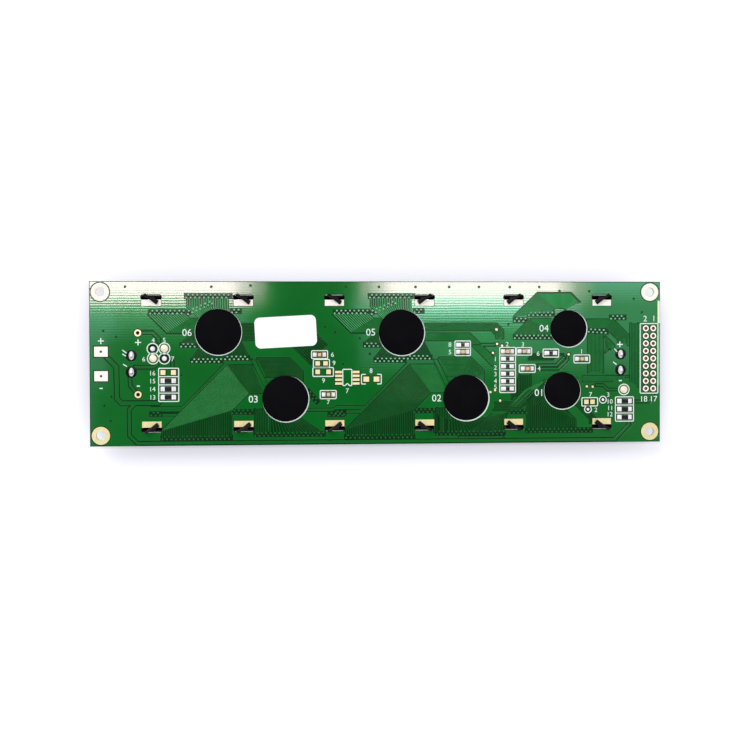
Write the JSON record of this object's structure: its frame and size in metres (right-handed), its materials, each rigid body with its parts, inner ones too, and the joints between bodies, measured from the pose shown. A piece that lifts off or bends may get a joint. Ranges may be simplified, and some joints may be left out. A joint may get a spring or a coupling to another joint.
{
  "type": "character lcd module",
  "caption": "Backlit character display module: glass cell in a black folded bezel, clamped by twisted tabs to a green circuit board with chips under round epoxy covers",
  "frame": {"origin": "middle of the bezel's front face, which the module lies on", "axes": "+X towards the header end of the board, +Z out of the board's component side, display towards -Z"},
  "size_m": [0.19, 0.054, 0.0117],
  "materials": {
    "green_solder_mask": "glossy green solder mask over a woven glass and epoxy board",
    "gold_flash": "bare copper with a thin gold finish, satin",
    "black_bezel": "black lacquered steel sheet, satin",
    "polarizer": "dark blue polarizing film, smooth",
    "cell_glass": "clear float glass",
    "seal_resin": "cured sealing resin",
    "zebra_rubber": "layered conductive rubber, matte",
    "white_moulding": "white moulded plastic, matte",
    "light_guide_acrylic": "clear acrylic, polished",
    "optical_film": "white optical film",
    "white_mask_board": "white solder mask on a strip board",
    "lamp_resin": "yellowish phosphor resin",
    "tinned_metal": "bright tinned metal",
    "epoxy_cover": "black potting resin, cured to a satin skin",
    "silicon": "sawn silicon",
    "resistor_body": "alumina chip with a black glassy top",
    "capacitor_body": "brown fired ceramic, satin",
    "label_paper": "white coated paper label"
  },
  "bodies": {
    "root": {"circuit_board": "green_solder_mask", "solder_pads": "gold_flash", "bezel_frame": "black_bezel", "front_polarizer": "polarizer", "rear_polarizer": "polarizer", "front_glass": "cell_glass", "rear_glass": "cell_glass", "cell_seal": "seal_resin", "fill_port_plug": "seal_resin", "zebra_strip_upper": "zebra_rubber", "zebra_strip_lower": "zebra_rubber", "backlight_frame": "white_moulding", "diffuser_film": "optical_film", "reflector_film": "optical_film", "light_guide": "light_guide_acrylic", "led_board_left": "white_mask_board", "led_board_right": "white_mask_board", "leds_left": "lamp_resin", "leds_right": "lamp_resin", "anode_pin_left": "tinned_metal", "cathode_pin_left": "tinned_metal", "anode_pin_right": "tinned_metal", "cathode_pin_right": "tinned_metal", "pin_solder_left": "tinned_metal", "pin_solder_right": "tinned_metal", "solder_jumpers": "tinned_metal", "chip_solder": "tinned_metal", "paper_label": "label_paper", "chip_cover_1": "epoxy_cover", "chip_die_1": "silicon", "chip_cover_2": "epoxy_cover", "chip_die_2": "silicon", "chip_cover_3": "epoxy_cover", "chip_die_3": "silicon", "chip_cover_4": "epoxy_cover", "chip_die_4": "silicon", "chip_cover_5": "epoxy_cover", "chip_die_5": "silicon", "chip_cover_6": "epoxy_cover", "chip_die_6": "silicon", "resistor_1": "resistor_body", "resistor_2": "resistor_body", "resistor_3": "resistor_body", "resistor_4": "resistor_body", "resistor_5": "resistor_body", "resistor_6": "resistor_body", "resistor_8": "resistor_body", "resistor_10": "resistor_body", "resistor_11": "resistor_body", "resistor_12": "resistor_body", "resistor_13": "resistor_body", "resistor_14": "resistor_body", "resistor_15": "resistor_body", "capacitor_1": "capacitor_body", "capacitor_2": "capacitor_body", "capacitor_3": "capacitor_body", "capacitor_4": "capacitor_body", "capacitor_5": "capacitor_body", "capacitor_6": "capacitor_body", "capacitor_7": "capacitor_body"}
  },
  "joints": []
}
